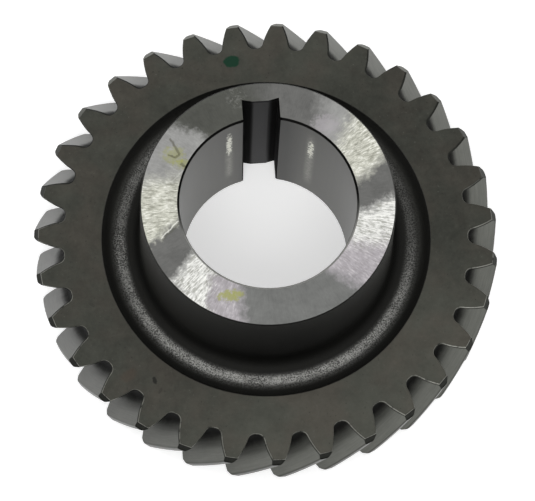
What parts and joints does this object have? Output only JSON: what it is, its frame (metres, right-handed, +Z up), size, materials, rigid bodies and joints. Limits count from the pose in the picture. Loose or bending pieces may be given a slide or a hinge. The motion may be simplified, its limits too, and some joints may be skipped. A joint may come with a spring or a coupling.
{
  "type": "transmission gear",
  "caption": "Helical transmission gear with a long one-sided hub, a keyed bore and a shallow ring-shaped recess between hub and rim.",
  "frame": {"origin": "on the bore's axis, at the back face of the hub", "axes": "+Z up the bore's axis to the front face of the long hub; +Y from the axis to the middle of the keyway"},
  "size_m": [0.1538, 0.1538, 0.0585],
  "materials": {
    "gear_steel": "satin"
  },
  "bodies": {
    "root": {"helical_gear": "gear_steel"}
  },
  "joints": []
}
